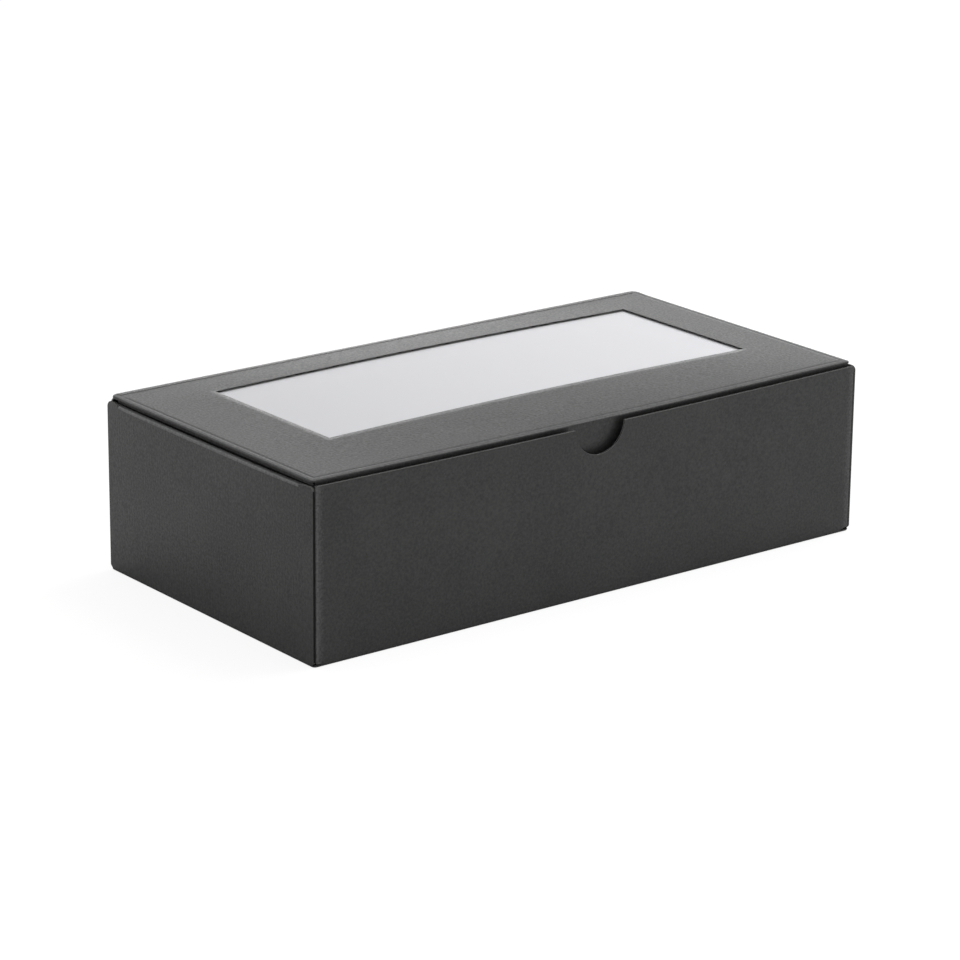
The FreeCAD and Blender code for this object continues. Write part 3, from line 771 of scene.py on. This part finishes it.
def lid_rings(per_side=56):
    """The lid's closed section, as rings: each has its outline, height, press, and paper lightened
    by rubbing and a painted highlight.

    The rolled edge is a quarter ellipse, and the score beside it a bell: exp(-d^2).
    """
    low, high = LID_LOW[:2], LID_HIGH[:2]
    window = ring(WINDOW_LOW, WINDOW_HIGH, 0.0, per_side)
    score, score_width, score_press, slope_past_score = 3.4, 0.8, 0.2, 0.07
    # The rolled edge's paper is lightened most halfway round: a painted highlight with some
    # rubbing.
    roll_in, roll_down, roll_rub_highlight = 0.6, 0.7, 0.12
    rings = []

    def outline(inset):
        front_radius = max(LID_FRONT_CORNER - inset, 0.0)
        back_radius = max(LID_BACK_CORNER - inset, 0.0)
        return ring(low + inset, high - inset, front_radius, per_side, back_radius=back_radius)

    inner = outline(6.2)
    for share in (0.0, 0.004, 0.1, 0.25, 0.4, 0.55, 0.7, 0.85, 1.0):
        sink = CRUSH if share == 0.0 else 0.0
        rings.append((window + share * (inner - window), BOARD - sink, 0.0, 0.0))
    for inset in (5.4, 4.9, 4.5, 4.1, 3.75, 3.4, 3.05, 2.7, 2.3, 1.8, 1.2):
        bell = math.exp(-((inset - score) / score_width) ** 2)
        press = score_press * bell + slope_past_score * max(score - inset, 0.0)
        rings.append((outline(inset), BOARD, press, 0.0))
    for angle in np.linspace(0, math.pi / 2, 8):
        inset = roll_in * (1 - math.sin(angle))
        height = BOARD - roll_down * (1 - math.cos(angle))
        press = slope_past_score * (score - inset)
        rings.append((outline(inset), height, press, roll_rub_highlight * math.sin(2 * angle)))
    rings.append((outline(0.0), 0.0, 0.0, 0.0))
    rings.append((outline(1.4), 0.0, 0.0, 0.0))
    for share in (1.0, 0.7, 0.4, 0.1, 0.0):
        rings.append((window + share * (inner - window), 0.0, 0.0, 0.0))
    return rings


def lid():
    """The lid: its section carried round the window, pressed beside three folded edges."""
    rings = lid_rings()
    flat = np.stack([outline for outline, _, _, _ in rings], axis=1)
    height = np.array([h for _, h, _, _ in rings])[None, :]
    press = np.array([p for _, _, p, _ in rings])[None, :]
    rub_highlight_level = np.array([w for _, _, _, w in rings])[None, :]
    x, y = flat[..., 0], flat[..., 1]
    fade = np.clip((LID_HIGH[1] - 6 - y) / 6, 0, 1)
    z = LID_LOW[2] + height - press * fade + lid_lift(x, y)
    points = np.stack([x, y, z], axis=-1)
    points = np.concatenate([points, points[:1]])
    rub_and_highlight = np.concatenate([rub_highlight_level * np.ones(x.shape), rub_highlight_level * np.ones((1, x.shape[1]))])
    kind = np.full((len(points) - 1, points.shape[1]), FACE)
    # The window's cut edges take the pale rim edge: a painted highlight.
    kind[:, -1] = CUT
    kind[:, 0] = CUT
    steps = np.linalg.norm(np.diff(points[:, 0, :2], axis=0), axis=1)
    run = np.concatenate([[0], np.cumsum(steps)])
    along = np.repeat(run[:, None], points.shape[1], axis=1)
    above = BOARD - (points[..., 2] - LID_LOW[2] - lid_lift(points[..., 0], points[..., 1]))
    uv = np.stack([corners_of(along), corners_of(above)], axis=-1)
    piece = piece_from_grid("lid_board", points, FLAT_STUFF, kind, uv, rub_and_highlight)
    board_piece(piece, "lid", "lid_panel")


def tuck_flap():
    """The front flap: mitred at its ends, leaning in by its angle from its crease."""
    half = TUCK_HIGH[0]
    fall = 30.0
    stations = np.concatenate([
        spread(-half, -half + fall + 6, 1.5),
        spread(-half + fall + 12, half - fall - 12, 6),
        spread(half - fall - 6, half, 1.5),
    ])
    mitre = -(half - np.abs(stations))
    low = np.minimum(smooth_max(mitre, np.full(len(stations), -fall), 2.5), -0.6)
    high = np.zeros(len(stations))
    crease_y = TUCK_LOW[1] + BOARD
    crease_z = TUCK_HIGH[2]

    def to_space(along, height, depth):
        out = depth + BOARD / 2
        y = crease_y - height * math.sin(TUCK_LEAN) - out * math.cos(TUCK_LEAN)
        z = crease_z + height * math.cos(TUCK_LEAN) - out * math.sin(TUCK_LEAN)
        return along, y, z + lid_lift(along, np.full(along.shape, LID_LOW[1]))

    # Its cut bottom edge takes the pale rim edge: a painted highlight.
    flap = board_panel(
        "tuck_flap_board", stations, low, high, to_space,
        (FACE, CUT, CUT_ACROSS), LONG_STUFF, rows=12,
    )
    board_piece(flap, "tuck_flap", "lid_tuck_flap")


def dust_flap(side, name):
    """A side flap: mitred in front, sloped behind, straight below."""
    front, back = DUST_LOW[1], DUST_HIGH[1]
    top, fall = DUST_HIGH[2], DUST_HIGH[2] - DUST_LOW[2]
    stations = np.concatenate([
        spread(front, front + fall + 5, 1.2),
        spread(front + fall + 10, back - 12, 6),
        spread(back - 8, back, 1.0),
    ])
    mitre = top - (stations - front)
    slope = top - (back - stations) * fall / 5.0
    low = smooth_max(smooth_max(mitre, slope, 1.5), np.full(len(stations), top - fall), 1.6)
    low = np.minimum(low, top - 0.6)
    high = np.full(len(stations), top)
    middle = off_centre(DUST_LOW, DUST_HIGH)

    def to_space(along, height, depth):
        edge = np.full(along.shape, LID_HIGH[0])
        return side * (middle + depth), along, height + lid_lift(edge, along)

    flap = board_panel(
        f"{name}_dust_flap_board", stations, low, high, to_space,
        (FACE, CUT_ACROSS, CUT), SIDE_STUFF, rows=10,
    )
    board_piece(flap, f"{name}_dust_flap", f"lid_{name}_dust_flap")


def film():
    """The film, following the lid's crown: a closed flat section carried along the box."""
    stations = spread(FILM_LOW[0], FILM_HIGH[0], 4)
    stations = np.concatenate([stations[:1], stations, stations[-1:]])
    across = spread(FILM_LOW[1], FILM_HIGH[1], 4)
    y = np.concatenate([across, across[::-1]])[None, :] * np.ones((len(stations), 1))
    level = np.concatenate([np.ones(len(across)), np.zeros(len(across))])
    top = level[None, :] * np.ones((len(stations), 1))
    top[0] = 0.5
    top[-1] = 0.5
    x = np.repeat(stations[:, None], y.shape[1], axis=1)
    thick = FILM_HIGH[2] - FILM_LOW[2]
    z = FILM_LOW[2] + thick * top + lid_lift(x, y)
    piece = piece_from_grid("window_film_sheet", np.stack([x, y, z], axis=-1), (FILM,))
    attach(piece, "lid")
    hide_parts("window_film")


def glue_line():
    """The glue between film and lid: a flat bead whose edges wander a little."""
    outer = ring(GLUE_LOW[:2], GLUE_HIGH[:2], 0.0, 60)
    inner = ring(GLUE_LOW[:2] + 4, GLUE_HIGH[:2] - 4, 0.0, 60)
    count = len(outer)
    phase = np.linspace(0, 2 * math.pi, count, endpoint=False)[:, None]
    wander = 0.06 * np.sin(31 * phase) + 0.04 * np.sin(57 * phase + 1.3)
    narrow = outer + (0.03 + wander * 0.25) * (inner - outer)
    wide = outer + (0.97 + wander * 0.25) * (inner - outer)
    flat = np.stack([narrow, wide, wide, narrow], axis=1)
    thick = GLUE_HIGH[2] - GLUE_LOW[2]
    level = np.array([1.0, 1.0, 0.0, 0.0])[None, :]
    clear = 0.01  # keeps the bead's faces off the film's and the lid's
    z = GLUE_LOW[2] + clear + (thick - 2 * clear) * level + lid_lift(flat[..., 0], flat[..., 1])
    points = np.concatenate([flat, z[..., None]], axis=-1)
    points = np.concatenate([points, points[:1]])
    piece = piece_from_grid("film_glue_bead", points, (GLUE,))
    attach(piece, "lid")
    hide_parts("film_glue_line")


def crease_strip(name, section, length, turned, rub_highlight_level):
    """The liner that bridges a crease: a thin section carried along it.

    The section is a line of (out, up) places. Its back is the same line moved in by the
    paper's thickness, along the line's own normals. The last argument, 0 to 1, says how
    far its paper is lightened: rubbing and a painted highlight.
    """
    section = np.array(section)
    tangent = np.gradient(section, axis=0)
    tangent /= np.linalg.norm(tangent, axis=1)[:, None]
    normal = np.stack([-tangent[:, 1], tangent[:, 0]], axis=1)
    back = section + normal * CREASE_PAPER
    loop = np.concatenate([section, back[::-1]])
    middle = np.concatenate([(section + back) / 2, ((section + back) / 2)[::-1]])
    stations = spread(length[0], length[1], 6)
    stations = np.concatenate([stations[:1], stations, stations[-1:]])
    across = np.repeat(loop[None], len(stations), axis=0)
    across[0] = middle
    across[-1] = middle
    along = np.repeat(stations[:, None], len(loop), axis=1)
    points = np.stack(turned(along, across[..., 0], across[..., 1]), axis=-1)
    rub_and_highlight = np.full(along.shape, rub_highlight_level)
    return piece_from_grid(name, points, (LINER_FLAT,), rub_and_highlight=rub_and_highlight, sharp=60)


def arc(centre, radius, start, stop, count=7):
    """Places on a circle, by angle in degrees."""
    turn = np.radians(np.linspace(start, stop, count))
    return [(centre[0] + radius * math.cos(t), centre[1] + radius * math.sin(t)) for t in turn]


def creases():
    """The four moving creases: the hinge and the fold of each flap."""
    skin = CREASE_PAPER + 0.02
    back, top = LID_HIGH[1] + 0.3, LID_HIGH[2]
    section = [(back + skin, top - 5.5), (back + skin, top - 3.5), (back + skin, top - 1.4)]
    section += arc((back + skin - 1.3, top + skin - 1.3), 1.3, 0, 90)
    section += [(back - 3.0, top + skin), (back - 4.4, top + skin)]
    end = LID_HIGH[0] - LID_BACK_CORNER

    def at_back(along, out, up):
        return along, out, up + lid_lift(along, out) * np.clip((up - top + 2) / 2, 0, 1)

    # The hinge strip's paper is lightened a little: rubbing and a painted highlight.
    strip = crease_strip("hinge_crease", section, (-end, end), at_back, 0.3)
    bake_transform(strip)

    front = -LID_LOW[1]
    low = LID_LOW[2]
    fold_section = [(front + skin, low + up) for up in (-2.6, -1.4, -0.2, 0.2)]
    tuck_half = LID_HIGH[0] - 1.8

    def at_front(along, out, up):
        lean = np.clip(low - 0.3 - up, 0, None) * math.sin(TUCK_LEAN)
        return along, -(out - lean), up + lid_lift(along, np.full(along.shape, LID_LOW[1]))

    # The tuck crease's paper is lightened very little: rubbing and a painted highlight.
    strip = crease_strip("tuck_crease", fold_section, (-tuck_half, tuck_half), at_front, 0.1)
    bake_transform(strip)

    face = abs(DUST_LOW[0]) + skin
    shoulder = ((0, 2.6), (0, 1.8), (0.08, 1.2), (0.4, 0.7), (1.0, 0.3), (1.9, 0.08))
    side_section = [(face + out, low - down) for out, down in shoulder]
    for side, name in ((-1, "left"), (1, "right")):
        def at_side(along, out, up, side=side):
            return side * out, along, up + lid_lift(out, along)

        length = (LID_LOW[1] + 1.8, LID_HIGH[1] - LID_BACK_CORNER)
        # The side shoulders' paper is lightened most: rubbing and a painted highlight.
        strip = crease_strip(f"{name}_dust_crease", side_section, length, at_side, 0.8)
        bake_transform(strip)


def make_lid():
    lid()
    tuck_flap()
    dust_flap(-1, "left")
    dust_flap(1, "right")
    film()
    glue_line()
    creases()


# The fibre.

def lumps(x, y, seed):
    """Smooth unevenness from -1 to 1: a sum of sines with fixed directions and phases."""
    chance = np.random.default_rng(seed)
    total = np.zeros(x.shape)
    weight = 0.0
    for size in (70.0, 45.0, 28.0, 17.0, 9.0, 5.0):
        for _ in range(5):
            turn, phase = chance.uniform(0, 2 * math.pi, 2)
            strength = size ** 0.75
            way = x * math.cos(turn) + y * math.sin(turn)
            total += strength * np.sin(2 * math.pi * way / size + phase)
            weight += strength
    return 2.2 * total / weight


def section_of_layer(depth, thick, radius, across=74, up=8, bend=9):
    """A rounded rectangle round its middle, as one closed loop of (depth, height) places."""
    flat = np.linspace(-1, 1, across)
    tall = np.linspace(-1, 1, up)
    turn = np.linspace(0, math.pi / 2, bend)[1:-1]
    a, b = depth - radius, thick - radius
    loop = []
    loop.append(np.stack([flat * a, np.full(across, thick)], axis=1))
    loop.append(np.stack([a + radius * np.sin(turn), b + radius * np.cos(turn)], axis=1))
    loop.append(np.stack([np.full(up, depth), -tall * b], axis=1))
    loop.append(np.stack([a + radius * np.cos(turn), -b - radius * np.sin(turn)], axis=1))
    loop.append(np.stack([-flat * a, np.full(across, -thick)], axis=1))
    loop.append(np.stack([-a - radius * np.sin(turn), -b - radius * np.cos(turn)], axis=1))
    loop.append(np.stack([np.full(up, -depth), tall * b], axis=1))
    loop.append(np.stack([-a - radius * np.cos(turn), b + radius * np.sin(turn)], axis=1))
    return np.concatenate(loop)


def fibre_layer(node, low, high, soft, plan_corner, seed, crowned):
    """A batt of fibre: a soft rounded section carried along the box.

    Near its ends the section shrinks as a quarter circle of the soft edge in height and
    of the rounded corner in depth. Its surface is lifted or sunk by the lumps.
    """
    centre = (low + high) / 2
    half = (high - low) / 2
    turn = np.linspace(0, math.pi / 2, 9)
    inner = half[0] - plan_corner
    tail = inner + plan_corner * np.sin(turn)
    positive = np.concatenate([spread(0, inner, 2.6)[1:-1], tail])
    along = np.concatenate([-positive[::-1], [0.0], positive])
    along = np.concatenate([[-half[0]], along, [half[0]]])
    section = section_of_layer(half[1], half[2], soft)
    past_corner = np.clip((np.abs(along) - inner) / plan_corner, 0, 1)
    pull_depth = plan_corner * (1 - np.sqrt(1 - past_corner ** 2))
    past_soft = np.clip((np.abs(along) - (half[0] - soft)) / soft, 0, 1)
    pull_height = soft * (1 - np.sqrt(1 - past_soft ** 2))
    y = section[None, :, 0] * ((half[1] - pull_depth) / half[1])[:, None]
    z = section[None, :, 1] * ((half[2] - pull_height) / half[2])[:, None]
    for closing in (0, -1):
        y[closing] *= 0.0
        z[closing] *= 0.0
    x = np.repeat(along[:, None], y.shape[1], axis=1)
    x_out, y_out = x + centre[0], y + centre[1]
    upper = np.clip(z / half[2], 0, 1) ** 4
    lower = np.clip(-z / half[2], 0, 1) ** 4
    wave = lumps(x_out, y_out, seed)
    lift = lid_lift(x_out, y_out) if crowned else 0.0
    deep = 1.2
    if crowned:
        past_window = np.maximum(WINDOW_LOW[0] - x_out, x_out - WINDOW_HIGH[0])
        past_sides = np.maximum(WINDOW_LOW[1] - y_out, y_out - WINDOW_HIGH[1])
        past_window = np.maximum(past_window, past_sides)
        deep = 0.55 + 2.2 * np.clip(past_window / 12, 0, 1)
    z_out = z + centre[2] + upper * (lift + deep * (wave - 1.0)) + lower * (0.6 + 0.6 * wave)
    pull = 1 - np.clip((np.abs(z) / half[2]), 0, 1) ** 2
    sag = 1.5 * pull * (1 + lumps(x_out, 1.6 * z_out, seed + 7))
    y_out = y_out - np.sign(y) * sag * np.clip((np.abs(y) / half[1] - 0.86) / 0.14, 0, 1)
    end_sag = 1.5 * pull * (1 + lumps(y_out, 1.6 * z_out, seed + 19))
    x_out = x_out - np.sign(x) * end_sag * np.clip((np.abs(x) - inner) / plan_corner, 0, 1)
    points = np.stack([x_out, y_out, z_out], axis=-1)
    piece = piece_from_grid(f"{node}_batt", points, (FIBRE,), sharp=180)
    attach(piece, "tray")
    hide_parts(node)


def make_fibre():
    plan_corner = 12.0
    layers = (
        ("fibre_bottom_layer", 7.0, 11, False),
        ("fibre_middle_layer", 7.0, 12, False),
        ("fibre_top_layer", 4.5, 13, True),
    )
    for node, soft, seed, crowned in layers:
        low, high = reach(node)
        fibre_layer(node, low, high, soft, plan_corner, seed, crowned)


make_tray()
make_lid()
make_fibre()


# The photographer's table.

def white_and_shadow(tree, glow, share):
    """White made of a glow and of lit paper, so a shadow darkens the paper's share."""
    lit = add(tree, "ShaderNodeBsdfDiffuse", {"Color": (share, share, share, 1)})
    white = add(tree, "ShaderNodeEmission", {"Strength": glow})
    return add(tree, "ShaderNodeAddShader", {0: lit.outputs[0], 1: white.outputs[0]}).outputs[0]


def floor():
    """A plain pale floor: white to the camera, pale lit paper in reflections.

    The shadow shows in both.
    """
    mesh = bpy.data.meshes.new("floor")
    wide, level = 6.0, -0.0002  # metres
    places = ((-wide, -wide), (wide, -wide), (wide, wide), (-wide, wide))
    mesh.from_pydata([(x, y, level) for x, y in places], [], [(0, 1, 2, 3)])
    piece = placed("floor", mesh)
    material, tree, _ = new_material("pale table")
    path = add(tree, "ShaderNodeLightPath").outputs
    direct = maths(tree, "MAXIMUM", path["Is Camera Ray"], path["Is Transmission Ray"])
    plain = add(tree, "ShaderNodeBsdfDiffuse", {"Color": colour("#e8e8e8")}).outputs[0]
    to_camera = white_and_shadow(tree, glow=0.86, share=0.2)
    reflected = white_and_shadow(tree, glow=0.0, share=0.82)
    indirect = {0: path["Is Glossy Ray"], 1: plain, 2: reflected}
    seen = add(tree, "ShaderNodeMixShader", indirect).outputs[0]
    both = add(tree, "ShaderNodeMixShader", {0: direct, 1: seen, 2: to_camera}).outputs[0]
    finished(material, both)
    mesh.materials.append(material)


def surroundings():
    """White all round to the camera and in reflections, and a softer light elsewhere."""
    world = bpy.data.worlds.new("pale room")
    bpy.context.scene.world = world
    world.use_nodes = True
    tree = world.node_tree
    tree.nodes.clear()
    path = add(tree, "ShaderNodeLightPath").outputs
    seen = maths(tree, "MAXIMUM", path["Is Camera Ray"], path["Is Glossy Ray"])
    seen = maths(tree, "MAXIMUM", seen, path["Is Transmission Ray"])
    strength = remap(tree, seen, start=0.69, stop=1.0)
    light = add(tree, "ShaderNodeBackground", {"Color": (1, 1, 1, 1), "Strength": strength})
    add(tree, "ShaderNodeOutputWorld", {"Surface": light.outputs[0]})


def soft_box(name, at, aim, size, watts):
    """A rectangular soft box, aimed at a place. All its lengths are in metres."""
    lamp = bpy.data.lights.new(name, "AREA")
    lamp.shape = "RECTANGLE"
    lamp.size, lamp.size_y = size
    lamp.energy = watts
    piece = placed(name, lamp)
    piece.visible_camera = False
    piece.location = at
    piece.rotation_euler = (Vector(aim) - Vector(at)).to_track_quat("-Z", "Y").to_euler()


def camera():
    """The photograph's view: its angles, its distance in mm, its focal length in pixels."""
    turn, tilt, roll = (math.radians(v) for v in (-38.01, 17.95, 0.56))
    distance, focal, picture_width = 2000.0, 3768.7, 960
    target = Vector((-14.21, -11.93, 45.0))
    level = math.cos(tilt)
    back = Vector((math.sin(turn) * level, -math.cos(turn) * level, math.sin(tilt)))
    right = Vector((0, 0, 1)).cross(back).normalized()
    up = back.cross(right)
    rolled_right = math.cos(roll) * right + math.sin(roll) * up
    rolled_up = -math.sin(roll) * right + math.cos(roll) * up
    lens = bpy.data.cameras.new("camera")
    lens.sensor_width = 36.0
    lens.lens = focal / picture_width * lens.sensor_width
    lens.clip_start, lens.clip_end = 0.05, 50.0  # metres
    piece = placed("camera", lens)
    place = (target + back * distance) * MM
    axes = Matrix((rolled_right, rolled_up, back)).transposed().to_4x4()
    piece.matrix_world = Matrix.Translation(place) @ axes
    bpy.context.scene.camera = piece


floor()
surroundings()
soft_box("key soft box", (1.0, -0.1, 1.6), (0, 0, 0.04), (1.2, 1.2), 16)
soft_box("back card", (0.56, 0.72, 0.11), (0, 0, 0.1), (1.4, 0.2), 3.3)
camera()
bpy.context.scene.view_settings.view_transform = "Standard"
